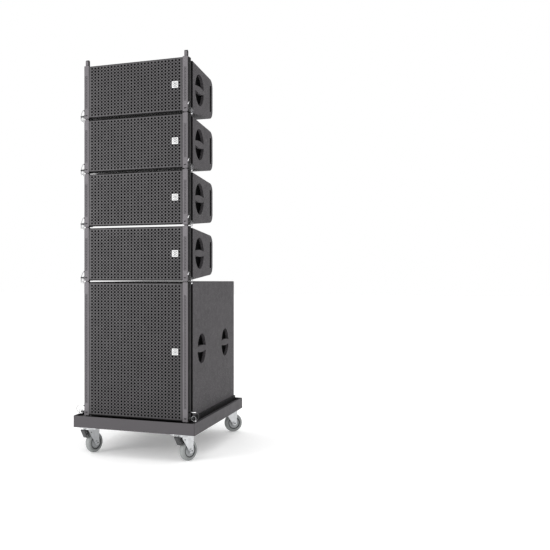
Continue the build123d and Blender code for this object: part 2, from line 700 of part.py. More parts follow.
def add_dolly():
    """The dolly's tray and its four casters, each turned about its king pin."""
    add("dolly_tray", tray())
    mounts = []
    for name, turn in TURNS.items():
        x = CASTER_X if name.endswith("right") else -CASTER_X
        front = name.startswith("front")
        place = Pos(x, CASTER_FRONT_Y if front else CASTER_REAR_Y, 0)
        turned_place = place * Rot(0, 0, -turn)
        mounts.append(place * caster_mount())
        add(f"fork_{name}", turned_place * fork(front))
        add(f"wheel_{name}", turned_place * wheel())
        if front:
            add(f"brake_pedal_{name}", turned_place * pedal())
    add("caster_mounts", *mounts)


nodes = {}
for unit_number in range(1, ELEMENT_COUNT + 1):
    add_element(unit_number)
add_sub()
add_dolly()
box = Compound([solid for solids in nodes.values() for solid in solids]).bounding_box()
print("box in X", box.min.X, box.max.X, "in Y", box.min.Y, box.max.Y, "in Z", box.min.Z, box.max.Z)
origin_y = (box.min.Y + box.max.Y) / 2
print("the origin is at Y", origin_y)
os.makedirs("parts", exist_ok=True)
for node_name, node_solids in nodes.items():
    placed = [Pos(0, -origin_y, 0) * solid for solid in node_solids]
    export_step(placed[0] if len(placed) == 1 else Compound(placed), f"parts/{node_name}.step")
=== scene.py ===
import json
import math
import random

import bmesh
import bpy
from mathutils import Euler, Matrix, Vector


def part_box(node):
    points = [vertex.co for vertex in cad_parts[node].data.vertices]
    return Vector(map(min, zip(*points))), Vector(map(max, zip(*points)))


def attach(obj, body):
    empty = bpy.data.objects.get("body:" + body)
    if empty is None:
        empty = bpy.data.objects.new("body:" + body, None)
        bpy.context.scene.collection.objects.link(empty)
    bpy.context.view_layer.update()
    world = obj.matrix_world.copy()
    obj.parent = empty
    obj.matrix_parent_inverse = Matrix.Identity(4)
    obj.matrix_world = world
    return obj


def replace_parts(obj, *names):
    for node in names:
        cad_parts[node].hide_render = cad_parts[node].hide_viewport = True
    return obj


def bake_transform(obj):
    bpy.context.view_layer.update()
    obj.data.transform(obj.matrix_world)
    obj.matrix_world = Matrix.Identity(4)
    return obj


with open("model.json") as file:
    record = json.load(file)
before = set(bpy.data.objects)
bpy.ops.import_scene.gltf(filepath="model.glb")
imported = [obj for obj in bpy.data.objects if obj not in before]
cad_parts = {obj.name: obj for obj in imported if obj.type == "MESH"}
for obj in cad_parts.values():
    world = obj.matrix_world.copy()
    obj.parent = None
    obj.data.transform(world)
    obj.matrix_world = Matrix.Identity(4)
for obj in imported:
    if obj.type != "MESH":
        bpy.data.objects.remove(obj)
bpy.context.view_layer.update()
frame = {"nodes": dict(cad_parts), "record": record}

NODES = frame["nodes"]
ELEMENTS = ("1", "2", "3", "4")
UNITS = (*ELEMENTS, "sub")
SIDES = (("left", -1), ("right", 1))
JOINTS = {row["name"]: row for row in frame["record"]["behaviour"]["joints"]}
MM = 0.001
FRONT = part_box("rails_1")[0].y


def body_of_unit(unit):
    """The CAD body that a unit's fixed pieces ride on; the bass unit stands on the root."""
    return "root" if unit == "sub" else f"element_{unit}"


def node_of_unit(kind, unit):
    """A unit's CAD node of one kind, such as rails_2 or sub_rails."""
    if unit == "sub":
        return f"sub_{kind}"
    return f"{kind}_{unit}"


# ------------------------------------------------------------------------------------------------
# Mesh helpers
# ------------------------------------------------------------------------------------------------
class Shape:
    """Vertices and faces gathered for one piece, in metres in the row frame."""

    def __init__(self):
        self.verts = []
        self.faces = []

    def add(self, verts, faces):
        base = len(self.verts)
        self.verts += [tuple(v) for v in verts]
        self.faces += [[base + i for i in face] for face in faces]

    def rings(self, rings, close_start=True, close_end=True):
        """A closed skin through rings that have the same number of points."""
        count = len(rings[0])
        faces = []
        for k in range(len(rings) - 1):
            for i in range(count):
                j = (i + 1) % count
                faces.append(
                    [k * count + i, k * count + j, (k + 1) * count + j, (k + 1) * count + i]
                )
        if close_start:
            faces.append(list(range(count))[::-1])
        if close_end:
            faces.append([(len(rings) - 1) * count + i for i in range(count)])
        self.add([p for ring in rings for p in ring], faces)

    def hoop(self, rings):
        """A skin through rings whose last one joins the first, such as a turned ring."""
        count = len(rings[0])
        faces = []
        for k in range(len(rings)):
            n = (k + 1) % len(rings)
            for i in range(count):
                j = (i + 1) % count
                faces.append([k * count + i, k * count + j, n * count + j, n * count + i])
        self.add([p for ring in rings for p in ring], faces)

    def piece(self, name, material, body, slot=None, angle=35, merge=False):
        """The Blender object, with even normals, that rides on a CAD body."""
        mesh = bpy.data.meshes.new(name)
        mesh.from_pydata(self.verts, [], self.faces)
        work = bmesh.new()
        work.from_mesh(mesh)
        if merge:
            bmesh.ops.remove_doubles(work, verts=work.verts, dist=1e-6)
        bmesh.ops.recalc_face_normals(work, faces=work.faces)
        work.to_mesh(mesh)
        work.free()
        mesh.shade_smooth()
        mesh.set_sharp_from_angle(angle=math.radians(angle))
        mesh.materials.append(material)
        obj = bpy.data.objects.new(name, mesh)
        bpy.context.scene.collection.objects.link(obj)
        if body:
            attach(obj, body)
        return obj


def frame_of(axis):
    """Two directions across an axis, so that a turned shape closes the same way each run."""
    axis = Vector(axis).normalized()
    across = Vector((0, 0, 1)) if abs(axis.z) < 0.9 else Vector((0, 1, 0))
    u = across.cross(axis).normalized()
    return axis, u, axis.cross(u)


def in_metres(outline):
    """A turned outline's points, from millimetres."""
    return [(along * MM, radius * MM) for along, radius in outline]


def turned_rings(profile, centre, axis, steps):
    """Rings of a turned shape; the profile is (along, radius) pairs in metres."""
    axis, u, v = frame_of(axis)
    centre = Vector(centre)
    rings = []
    for along, radius in profile:
        ring = []
        for i in range(steps):
            turn = math.tau * i / steps
            ring.append(centre + axis * along + (u * math.cos(turn) + v * math.sin(turn)) * radius)
        rings.append(ring)
    return rings


def rounded_rectangle(half_x, half_z, radius, steps=5):
    """Points of a rectangle with round corners, anticlockwise from the right-hand side."""
    points = []
    corners = ((1, 1, 0), (-1, 1, 90), (-1, -1, 180), (1, -1, 270))
    for sx, sz, start in corners:
        for k in range(steps + 1):
            turn = math.radians(start + 90 * k / steps)
            x = sx * (half_x - radius) + radius * math.cos(turn)
            z = sz * (half_z - radius) + radius * math.sin(turn)
            points.append((x, z))
    return points


# ------------------------------------------------------------------------------------------------
# Materials
# ------------------------------------------------------------------------------------------------
BEVEL_SAMPLES = 4
# The rounded and the true normal's cosine at a sharp edge and on a flat
EDGE_COSINES = (0.80, 0.985)


class Graph:
    """A material's nodes, with short calls for the ones used here."""

    def __init__(self, name):
        self.material = bpy.data.materials.new(name)
        self.material.use_nodes = True
        self.tree = self.material.node_tree
        self.shader = self.tree.nodes["Principled BSDF"]
        self.where = self.tree.nodes.new("ShaderNodeTexCoord").outputs["Object"]

    def link(self, output, socket):
        self.tree.links.new(output, socket)

    def node(self, kind, **settings):
        node = self.tree.nodes.new(kind)
        for key, value in settings.items():
            setattr(node, key, value)
        return node

    def noise(self, scale, detail=2.0, roughness=0.5, stretch=None):
        """Noise in object space; stretch scales its axes apart, for brushed or drawn surfaces."""
        node = self.node("ShaderNodeTexNoise")
        node.inputs["Scale"].default_value = scale
        node.inputs["Detail"].default_value = detail
        node.inputs["Roughness"].default_value = roughness
        where = self.where
        if stretch:
            mapping = self.node("ShaderNodeMapping")
            mapping.inputs["Scale"].default_value = stretch
            self.link(where, mapping.inputs["Vector"])
            where = mapping.outputs["Vector"]
        self.link(where, node.inputs["Vector"])
        return node.outputs["Fac"]

    def spread(self, value, low, high, from_low=0.25, from_high=0.75):
        """A value mapped to a range and clamped to it."""
        node = self.node("ShaderNodeMapRange", clamp=True)
        limits = {"From Min": from_low, "From Max": from_high, "To Min": low, "To Max": high}
        for key, number in limits.items():
            node.inputs[key].default_value = number
        self.link(value, node.inputs["Value"])
        return node.outputs["Result"]

    def math(self, operation, a, b):
        node = self.node("ShaderNodeMath", operation=operation)
        for value, socket in ((a, node.inputs[0]), (b, node.inputs[1])):
            if isinstance(value, (int, float)):
                socket.default_value = value
            else:
                self.link(value, socket)
        return node.outputs["Value"]

    def along(self, axis):
        """A point's place on one axis, in object space."""
        node = self.node("ShaderNodeSeparateXYZ")
        self.link(self.where, node.inputs["Vector"])
        return node.outputs[axis]

    def band(self, value, low, high):
        """1 where a value lies between two limits, else 0."""
        above = self.math("GREATER_THAN", value, low)
        return self.math("MULTIPLY", above, self.math("LESS_THAN", value, high))

    def mix(self, factor, one, two):
        node = self.node("ShaderNodeMix", data_type="RGBA")
        self.link(factor, node.inputs["Factor"])
        for colour, socket in ((one, node.inputs["A"]), (two, node.inputs["B"])):
            if isinstance(colour, (tuple, list)):
                socket.default_value = (*colour, 1)
            else:
                self.link(colour, socket)
        return node.outputs["Result"]

    def edge(self, radius):
        """How far the surface turns within a radius: 0 on flats, up to 1 at sharp edges."""
        bevel = self.node("ShaderNodeBevel", samples=BEVEL_SAMPLES)
        bevel.inputs["Radius"].default_value = radius
        geometry = self.node("ShaderNodeNewGeometry")
        dot = self.node("ShaderNodeVectorMath", operation="DOT_PRODUCT")
        self.link(bevel.outputs["Normal"], dot.inputs[0])
        self.link(geometry.outputs["Normal"], dot.inputs[1])
        return self.spread(dot.outputs["Value"], 1.0, 0.0, *EDGE_COSINES)

    def bump(self, height, distance, round_edges):
        """Grain on the surface, and edges that look rounded by a radius."""
        node = self.node("ShaderNodeBump")
        node.inputs["Distance"].default_value = distance
        node.inputs["Strength"].default_value = 1.0
        self.link(height, node.inputs["Height"])
        bevel = self.node("ShaderNodeBevel", samples=BEVEL_SAMPLES)
        bevel.inputs["Radius"].default_value = round_edges
        self.link(bevel.outputs["Normal"], node.inputs["Normal"])
        self.link(node.outputs["Normal"], self.shader.inputs["Normal"])


def tint(colour, factor):
    return tuple(min(1.0, channel * factor) for channel in colour)


# Noise scales, in cycles a metre: soft mottling, worn edges, uneven gloss, and mottled metal
MOTTLE_SCALE = 9.0
WEAR_SCALE = 55.0
GLOSS_SCALE = 30.0
METAL_SCALE = 45.0
# Wear and rubbing reach this many times an edge's rounding in from the edge.
WEAR_REACH = 1.6
SPECK_TINT = 2.3
RUBBED_SHARE = 0.35
RUBBED_TINT = 1.35


def coat(name, colour, roughness, grain, depth, mottle=0.12, wear=0.35, worn=2.2, round_edges=0.0008,
         specular=0.5, speck=0.0, stretch=None, zones=()):
    """Paint, powder coat or moulded plastic: grain in the bump, soft mottling and worn edges.

    Each zone is an axis, two limits on it and the factor on the colour between them. A later zone
    covers an earlier one."""
    g = Graph(name)
    shader = g.shader
    shader.inputs["Metallic"].default_value = 0.0
    shader.inputs["Specular IOR Level"].default_value = specular
    fine = g.noise(grain, 3.0, 0.6, stretch)
    cloud = g.noise(MOTTLE_SCALE, 3.0)
    cloud_share = g.spread(cloud, 0.0, 1.0, 0.3, 0.7)
    colour_now = g.mix(cloud_share, tint(colour, 1 - mottle), tint(colour, 1 + mottle))
    if speck:
        dots = g.spread(fine, 0.0, speck, 0.52, 0.68)
        colour_now = g.mix(dots, colour_now, tint(colour, SPECK_TINT))
    if wear:
        edge = g.edge(round_edges * WEAR_REACH)
        rub = g.math("MULTIPLY", edge, g.spread(g.noise(WEAR_SCALE, 4.0), 0.1, 1.0, 0.4, 0.62))
        rub = g.math("MULTIPLY", rub, wear)
        colour_now = g.mix(rub, colour_now, tint(colour, worn))
    for axis, low, high, factor in zones:
        colour_now = g.mix(g.band(g.along(axis), low, high), colour_now, tint(colour, factor))
    g.link(colour_now, shader.inputs["Base Color"])
    gloss = g.spread(g.noise(GLOSS_SCALE, 4.0), roughness - 0.07, roughness + 0.07)
    g.link(gloss, shader.inputs["Roughness"])
    g.bump(fine, depth, round_edges)
    return g.material


def metal(name, colour, roughness, grain=600.0, depth=0.00004, stretch=None, mottle=0.1,
          round_edges=0.0004):
    """Bare or plated metal, with drawn or turned grain and uneven gloss."""
    g = Graph(name)
    g.shader.inputs["Metallic"].default_value = 1.0
    fine = g.noise(grain, 3.0, 0.6, stretch)
    cloud = g.noise(METAL_SCALE, 3.0)
    colour_now = g.mix(g.spread(cloud, 0.0, 1.0), tint(colour, 1 - mottle), tint(colour, 1 + mottle))
    rub = g.edge(round_edges * WEAR_REACH)
    colour_now = g.mix(g.math("MULTIPLY", rub, RUBBED_SHARE), colour_now, tint(colour, RUBBED_TINT))
    g.link(colour_now, g.shader.inputs["Base Color"])
    g.link(g.spread(cloud, roughness - 0.06, roughness + 0.08), g.shader.inputs["Roughness"])
    g.bump(fine, depth, round_edges)
    return g.material


# Where the colour changes: well past the object; at the back of the groove behind the rails, in
# front of which the cabinet carries painted shade; in the rails' windows, which are a little darker;
# behind the rails' front walls, where their grooves start with painted shade darker than their black
# sides; behind the grooves; behind the link bars' front edges, where their sides carry painted shade;
# and at the dolly's front rim and the insides of its side rims
FAR = 5.0
CABINET_GROOVE_END = FRONT + 72.5 * MM
RAIL_WINDOW = FRONT + 0.9 * MM
RAIL_WALL = FRONT + 3.2 * MM
RAIL_GROOVE_END = FRONT + 23 * MM
LINK_EDGE = FRONT + 6.8 * MM
DOLLY_FRONT_RIM = FRONT - 26 * MM
DOLLY_SIDE_RIM = 278 * MM

# The cabinet is dark from the front back to the groove behind the rails: painted shade in that groove and
# on the edges in the gaps between units.
CABINET = coat("textured_paint", (0.056, 0.0525, 0.056), 0.62, 210.0, 0.0009, mottle=0.10, wear=0.25,
               worn=1.7, round_edges=0.0012, speck=0.8, specular=0.12,
               zones=(("Y", -FAR, CABINET_GROOVE_END, 0.10),))
HANDLE = coat("cup_plastic", (0.008, 0.008, 0.0085), 0.5, 900.0, 0.00015, wear=0.2, specular=0.08)
GRILLE = coat("grille_powder", (0.042, 0.0395, 0.042), 0.5, 1400.0, 0.00008, mottle=0.08, wear=0.3,
              worn=1.6, round_edges=0.0003, specular=0.35)
FOAM = coat("foam", (0.003, 0.003, 0.0032), 0.95, 700.0, 0.0008, mottle=0.3, wear=0.0, specular=0.02)
# The rails' sides are black coated; in the grooves behind their front walls they are darker still, which
# is painted shade.
RAIL = coat("rail_coat", (0.138, 0.130, 0.138), 0.55, 900.0, 0.00006, mottle=0.07, wear=0.5, worn=1.7,
            round_edges=0.0007, specular=0.06, stretch=(1, 1, 0.12),
            zones=(("Y", RAIL_WINDOW, RAIL_WALL, 0.72), ("Y", RAIL_WALL, RAIL_GROOVE_END, 0.06),
                   ("Y", RAIL_GROOVE_END, FAR, 0.12)))
# Behind their front edges the link bars' sides are painted dark, which is painted shade in the gaps
# between units.
LINK = coat("link_coat", (0.120, 0.113, 0.120), 0.5, 700.0, 0.0001, mottle=0.12, wear=0.5, worn=2.0,
            round_edges=0.0008, specular=0.1, zones=(("Y", LINK_EDGE, FAR, 0.08),))
DRIVER = coat("driver_coat", (0.030, 0.030, 0.032), 0.45, 500.0, 0.0001, wear=0.5, worn=2.5)
# The tray is dark between its side rims: the guides there are dark, and on the deck the darkness is
# painted shade. Its front face has the plain colour again.
DOLLY = coat("dolly_powder", (0.078, 0.0735, 0.078), 0.48, 1000.0, 0.00012, mottle=0.08, wear=0.5,
             worn=1.6, round_edges=0.0015, specular=0.06,
             zones=(("X", -DOLLY_SIDE_RIM, DOLLY_SIDE_RIM, 0.15), ("Y", -FAR, DOLLY_FRONT_RIM, 1.0)))
PEDAL = coat("pedal_coat", (0.026, 0.026, 0.028), 0.4, 800.0, 0.0001, wear=0.6, worn=4.0)
TREAD = coat("grey_rubber", (0.235, 0.245, 0.243), 0.55, 700.0, 0.0001, mottle=0.08, wear=0.0,
             specular=0.35)
CORE = coat("wheel_plastic", (0.30, 0.31, 0.315), 0.42, 900.0, 0.00005, mottle=0.06, wear=0.2, worn=1.3)
SEAL = coat("wheel_seal", (0.020, 0.020, 0.022), 0.6, 900.0, 0.0001, mottle=0.1, wear=0.0)
KNOB = coat("pin_head_plastic", (0.020, 0.020, 0.021), 0.4, 900.0, 0.00008, wear=0.3, worn=3.0)
# A near-black sheet in the elements' rear slots: painted shade for the slots' insides.
SLOT_SHADE = coat("slot_painted_shade", (0.006, 0.006, 0.0062), 0.9, 800.0, 0.0003, mottle=0.25, wear=0.0,
              specular=0.03)
BADGE = coat("badge_enamel", (0.72, 0.72, 0.72), 0.35, 900.0, 0.00003, mottle=0.03, wear=0.0)
BADGE_LINE = coat("badge_inlay", (0.05, 0.05, 0.055), 0.4, 900.0, 0.00003, wear=0.0)
ZINC = metal("bright_zinc", (0.58, 0.59, 0.60), 0.36, mottle=0.14)
STEEL = metal("pin_steel_finish", (0.36, 0.36, 0.37), 0.34, stretch=(0.2, 1, 1))
ROPE = metal("galvanised_wire", (0.10, 0.098, 0.10), 0.42, grain=1500.0)
SLEEVE = metal("crimped_aluminium", (0.74, 0.74, 0.75), 0.38, grain=800.0)
SCREW = metal("black_screw", (0.05, 0.05, 0.053), 0.4, grain=900.0)

FINISHES = {
    "cabinet_paint": CABINET, "handle_plastic": HANDLE, "grille_steel": GRILLE, "rail_aluminium": RAIL,
    "link_steel": LINK, "driver_metal": DRIVER, "wire_rope": ROPE, "pin_steel": STEEL,
    "dolly_paint": DOLLY, "zinc_steel": ZINC, "pedal_steel": PEDAL, "wheel_rubber": TREAD,
}
for row in frame["record"]["subparts"]:
    cad = NODES[row["node"]]
    cad.data.materials.clear()
    cad.data.materials.append(FINISHES[row["material_slot"]])

# ------------------------------------------------------------------------------------------------
# Camera, light and floor
# ------------------------------------------------------------------------------------------------
CAMERA_PLACE = (1.4758, FRONT - 3.5076, 0.8776)
CAMERA_TURN = math.radians(20.98)
FLOOR_HALF = 30.0

bpy.context.scene.view_settings.view_transform = "Standard"
camera_data = bpy.data.cameras.new("camera")
camera_data.sensor_width = 36
camera_data.lens = 51.84
camera_data.shift_x = 0.209
camera = bpy.data.objects.new("camera", camera_data)
camera.location = CAMERA_PLACE
camera.rotation_euler = Euler((math.pi / 2, 0, CAMERA_TURN))
bpy.context.scene.collection.objects.link(camera)
bpy.context.scene.camera = camera


def area_light(name, place, aim, size, power):
    """A soft rectangular light that points at a place."""
    data = bpy.data.lights.new(name, "AREA")
    data.shape = "RECTANGLE"
    data.size, data.size_y = size
    data.energy = power
    light = bpy.data.objects.new(name, data)
    light.location = place
    light.rotation_euler = (Vector(aim) - Vector(place)).to_track_quat("-Z", "Y").to_euler()
    bpy.context.scene.collection.objects.link(light)


area_light("key", (-3.6, -5.6, 1.7), (0, -0.3, 1.0), (3.0, 3.6), 280)
area_light("fill", (3.6, -2.4, 2.0), (0, 0.1, 0.9), (2.4, 3.0), 4)
area_light("top", (0.2, 0.3, 4.4), (0, 0, 0.5), (3.0, 3.0), 15)

world = bpy.data.worlds.new("studio")
world.use_nodes = True
world.node_tree.nodes["Background"].inputs["Color"].default_value = (1.0, 1.0, 1.0, 1)
world.node_tree.nodes["Background"].inputs["Strength"].default_value = 1.0
bpy.context.scene.world = world

floor_mesh = bpy.data.meshes.new("floor")
floor_corners = [(sx * FLOOR_HALF, sy * FLOOR_HALF, 0) for sx, sy in ((-1, -1), (1, -1), (1, 1), (-1, 1))]
floor_mesh.from_pydata(floor_corners, [], [(0, 1, 2, 3)])
floor = bpy.data.objects.new("floor", floor_mesh)
floor_graph = Graph("pale_floor")
floor_graph.shader.inputs["Roughness"].default_value = 0.9
floor_graph.shader.inputs["Emission Color"].default_value = (1, 1, 1, 1)
floor_graph.shader.inputs["Emission Strength"].default_value = 0.2
floor_graph.link(
    floor_graph.mix(floor_graph.noise(1.5), (0.93, 0.93, 0.93), (0.95, 0.95, 0.95)),
    floor_graph.shader.inputs["Base Color"],
)
floor_mesh.materials.append(floor_graph.material)
bpy.context.scene.collection.objects.link(floor)

# ------------------------------------------------------------------------------------------------
# Wire lanyards
# ------------------------------------------------------------------------------------------------
PIN_Y = FRONT + 16 * MM
RAIL_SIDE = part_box("cabinet_1")[1].x
PIN_RISE = 15 * MM
LANYARD_DIAMETER = 2 * MM
# Places are outwards from the rail's side, back from the pin and up from its axis, in millimetres.
LANYARD_ROUTES = {
    "element": ((5, -4, 29), (5, -14, 29), (5, -26, 20), (6, -32, 6), (9, -31, -9), (13, -24, -20.5),
                (15, -13, -26.5), (15, -4, -26.5)),
    "sub": ((8, 0, 29), (22, 0, 29), (38, 0, 31.5), (49, 0, 20), (48.6, 0, 4.1), (37.1, 0, -7.4)),
}
# Strands wound round a straight one, and the pitch that they wind at
STRANDS = 6
STRAND_PITCH = 12 * MM
# The crimped sleeve covers this stretch of the wire, as shares of its length; sizes in millimetres.
SLEEVE_SPAN = (0.06, 0.34)
SLEEVE_RADIUS = 2.7
SLEEVE_END_RADIUS = 1.2
SLEEVE_GROOVE = 0.35
SLEEVE_GROOVES = 5
# The pull ring's middle and the direction that its plane takes besides up
RING_PLACES = {"element": ((15, 0, -11.8), (0, 1, 0)), "sub": ((24, 0, 0), (1, 0, 0))}
RING_RADIUS = 11 * MM
RING_WIRE = 1.3 * MM
# Turned outlines: millimetres along the axis, and radius
PIN_SHANK = ((-25, 2.6), (-23.4, 4), (0.4, 4))
PIN_HEAD = ((0.4, 6.6), (0.8, 7.5), (6.3, 7.5), (6.9, 6.8), (6.9, 4.4), (7.6, 4.0), (24.6, 4.0),
            (26, 2.9))
PIN_HEAD_STEPS = 48
# The head's widest rings are ribbed: half of their points lie this much nearer the axis.
RIBBED_ABOVE = 7
RIB_FACTOR = 0.94
FERRULE = ((0, 1.3), (0.3, 2.2), (2.0, 2.2), (2.6, 1.75), (3.4, 1.75), (4.0, 2.2), (4.7, 1.75),
           (5.5, 1.75), (6.1, 2.2), (7.7, 2.2), (8, 1.3))


def smooth_line(points):
    """The points that a NURBS spline through these control points gives."""
    curve = bpy.data.curves.new("route", "CURVE")
    curve.dimensions = "3D"
    curve.resolution_u = 12
    spline = curve.splines.new("NURBS")
    spline.points.add(len(points) - 1)
    for point, place in zip(spline.points, points):
        point.co = (*place, 1)
    spline.order_u = 3
    spline.use_endpoint_u = True
    holder = bpy.data.objects.new("route", curve)
    mesh = bpy.data.meshes.new_from_object(holder)
    line = [v.co.copy() for v in mesh.vertices]
    bpy.data.objects.remove(holder)
    bpy.data.meshes.remove(mesh)
    bpy.data.curves.remove(curve)
    return line


def strand_rings(line, radius, offset, phase, pitch, steps=8):
    """Rings of one wire strand that winds round a line."""
    rings = []
    travelled = 0.0
    side = Vector((0, 1, 0))
    for k, point in enumerate(line):
        before, after = line[max(k - 1, 0)], line[min(k + 1, len(line) - 1)]
        if k:
            travelled += (point - line[k - 1]).length
        along = (after - before).normalized()
        other = along.cross(side).normalized()
        turn = phase + math.tau * travelled / pitch
        centre = point + (side * math.cos(turn) + other * math.sin(turn)) * offset
        rings.append(
            [
                centre + (side * math.cos(a) + other * math.sin(a)) * radius
                for a in (math.tau * i / steps for i in range(steps))
            ]
        )
    return rings


def kind_of_unit(unit):
    """Which of the two kinds of pin and lanyard a unit has."""
    return "sub" if unit == "sub" else "element"


def near_pin(unit, sign, place):
    """A place beside a unit's pin, in metres."""
    pin_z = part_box(node_of_unit("rails", unit))[0].z + PIN_RISE
    out, back, up = place
    return (sign * (RAIL_SIDE + out * MM), PIN_Y + back * MM, pin_z + up * MM)


def crimped_sleeve(line):
    """The sleeve round a stretch of the wire, with shallow crimp grooves round it."""
    last = len(line) - 1
    rings = []
    # Rings of radius 1 round the wire, each drawn in to the sleeve's radius there
    for k, ring in enumerate(strand_rings(line, 1.0, 0, 0, 1.0, 20)):
        middle = sum((Vector(p) for p in ring), Vector()) / len(ring)
        if k in (0, last):
            radius = SLEEVE_END_RADIUS * MM
        else:
            groove = SLEEVE_GROOVE * math.sin(k / last * math.pi * SLEEVE_GROOVES) ** 2
            radius = (SLEEVE_RADIUS - groove) * MM
        rings.append([middle + (Vector(p) - middle) * radius for p in ring])
    sleeve = Shape()
    sleeve.rings(rings)
    return sleeve


def lanyard(unit, side, sign):
    """A stranded steel lanyard from the rail's stud to the ferrule on the pin's ring, and its sleeve."""
    kind = kind_of_unit(unit)
    points = [near_pin(unit, sign, place) for place in LANYARD_ROUTES[kind]]
    line = smooth_line(points)
    shape = Shape()
    # Three strands lie side by side across the wire.
    strand_radius = LANYARD_DIAMETER / 6
    offset = LANYARD_DIAMETER / 2 - strand_radius
    for i in range(STRANDS):
        phase = math.tau * i / STRANDS
        shape.rings(strand_rings(line, strand_radius, offset, phase, STRAND_PITCH))
    shape.rings(strand_rings(line, strand_radius, 0, 0, STRAND_PITCH))
    obj = shape.piece(f"lanyard_{unit}_{side}", ROPE, None, "wire_rope", angle=60)
    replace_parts(obj, f"lanyards_{unit}")
    first, last = (int(len(line) * share) for share in SLEEVE_SPAN)
    sleeve = crimped_sleeve(line[first:last + 1])
    sleeve.piece(f"lanyard_sleeve_{unit}_{side}", SLEEVE, body_of_unit(unit), angle=50)
    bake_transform(obj)


def wire_ring(centre, across, up, radius, wire, steps=40, wire_steps=12):
    """Rings of a closed wire loop in the plane of two directions."""
    across, up = Vector(across), Vector(up)
    side = across.cross(up)
    rings = []
    for i in range(steps):
        turn = math.tau * i / steps
        out = across * math.cos(turn) + up * math.sin(turn)
        middle = Vector(centre) + out * radius
        rings.append(
            [
                middle + (out * math.cos(a) + side * math.sin(a)) * wire
                for a in (math.tau * j / wire_steps for j in range(wire_steps))
            ]
        )
    return rings


def ribbed_head(base, axis):
    """A pin's head and neck, turned, with grip ribs on the widest part."""
    rings = []
    for along, radius in PIN_HEAD:
        centre = Vector(base) + Vector(axis) * along * MM
        ring = []
        for i in range(PIN_HEAD_STEPS):
            factor = RIB_FACTOR if radius > RIBBED_ABOVE and i % 4 < 2 else 1.0
            turn = math.tau * i / PIN_HEAD_STEPS
            ring.append(centre + Vector((0, math.cos(turn), math.sin(turn))) * (radius * MM * factor))
        rings.append(ring)
    head = Shape()
    head.rings(rings)
    return head


def retaining_pin(unit, side, sign):
    """A retaining pin: bright shank and ring, ribbed black head and neck, and the crimped ferrule."""
    axis = (sign, 0, 0)
    node = f"pin_{unit}_{side}"
    kind = kind_of_unit(unit)
    base = near_pin(unit, sign, (0, 0, 0))
    metal_part = Shape()
    metal_part.rings(turned_rings(in_metres(PIN_SHANK), base, axis, 32))
    ring_place, across = RING_PLACES[kind]
    ring_centre = near_pin(unit, sign, ring_place)
    metal_part.hoop(wire_ring(ring_centre, across, (0, 0, 1), RING_RADIUS, RING_WIRE))
    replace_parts(metal_part.piece(f"{node}_shank_and_ring", STEEL, node, "pin_steel"), node)
    head = ribbed_head(base, axis)
    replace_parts(head.piece(f"{node}_head", KNOB, node, "pin_steel", angle=40), node)
    before, end = (Vector(near_pin(unit, sign, place)) for place in LANYARD_ROUTES[kind][-2:])
    ferrule = Shape()
    ferrule.rings(turned_rings(in_metres(FERRULE), end, end - before, 24))
    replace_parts(ferrule.piece(f"{node}_ferrule", SLEEVE, node, "pin_steel"), node)


for unit in UNITS:
    for side, sign in SIDES:
        lanyard(unit, side, sign)
        retaining_pin(unit, side, sign)

# ------------------------------------------------------------------------------------------------
# Casters
# ------------------------------------------------------------------------------------------------
# Turned outlines of a wheel's parts: millimetres along the axle, and radius
TREAD_PROFILE = (
    (-13, 33.4), (-14.6, 34), (-16, 38), (-15.6, 41), (-14.4, 44), (-12.5, 46.4), (-9.9, 48.3),
    (-7, 49.5), (-4, 49.95), (-0.4, 50), (0, 49.75), (0.4, 50), (4, 49.95), (7, 49.5), (9.9, 48.3),
    (12.5, 46.4), (14.4, 44), (15.6, 41), (16, 38), (14.6, 34), (13, 33.4),
)
CORE_PROFILE = (
    (-15.6, 6.3), (-16, 7.5), (-16, 12.6), (-15.2, 13.6), (-12, 14.2), (-10.6, 16), (-10.2, 24),
    (-11, 27), (-12.6, 27.8), (-12.6, 29), (-9, 29.4), (9, 29.4), (12.6, 29), (12.6, 27.8), (11, 27),
    (10.2, 24), (10.6, 16), (12, 14.2), (15.2, 13.6), (16, 12.6), (16, 7.5), (15.6, 6.3),
)
SEAL_PROFILE = ((-12.0, 28.6), (-13.4, 29.2), (-13.4, 33.6), (13.4, 33.6), (13.4, 29.2), (12.0, 28.6))
# An axle end's outline, and its distance from the wheel's middle
AXLE_CAP = ((0, 4.6), (0.9, 4.6), (1.3, 3.9))
AXLE_REACH = 26.2 * MM


def wheel(name):
    """A caster wheel: tread with rounded shoulders, dished core, and the dark seal between them."""
    node = f"wheel_{name}"
    roll = JOINTS[f"{node}_roll"]
    parts = (
        ("tread", TREAD_PROFILE, TREAD, 96),
        ("core", CORE_PROFILE, CORE, 72),
        ("seal", SEAL_PROFILE, SEAL, 72),
    )
    for kind, profile, material, steps in parts:
        shape = Shape()
        shape.hoop(turned_rings(in_metres(profile), roll["pos_m"], roll["axis"], steps))
        piece = shape.piece(f"{node}_{kind}", material, node, "wheel_rubber", angle=30)
        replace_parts(piece, node)


def axle_ends(name):
    """The ends of a fork's axle bolt: a hexagon on the right, and a round one on the left."""
    roll = JOINTS[f"wheel_{name}_roll"]
    for side, sign in SIDES:
        axis = Vector(roll["axis"]) * sign
        end = Vector(roll["pos_m"]) + axis * AXLE_REACH
        shape = Shape()
        shape.rings(turned_rings(in_metres(AXLE_CAP), end, axis, 6 if side == "right" else 24))
        shape.piece(f"axle_end_{name}_{side}", SCREW, f"fork_{name}")


for name in ("front_left", "front_right", "rear_left", "rear_right"):
    wheel(name)
    axle_ends(name)

# ------------------------------------------------------------------------------------------------
# Screws in the sides and in the input plates
# ------------------------------------------------------------------------------------------------
SIDE_SCREW_RADIUS = 3.6 * MM
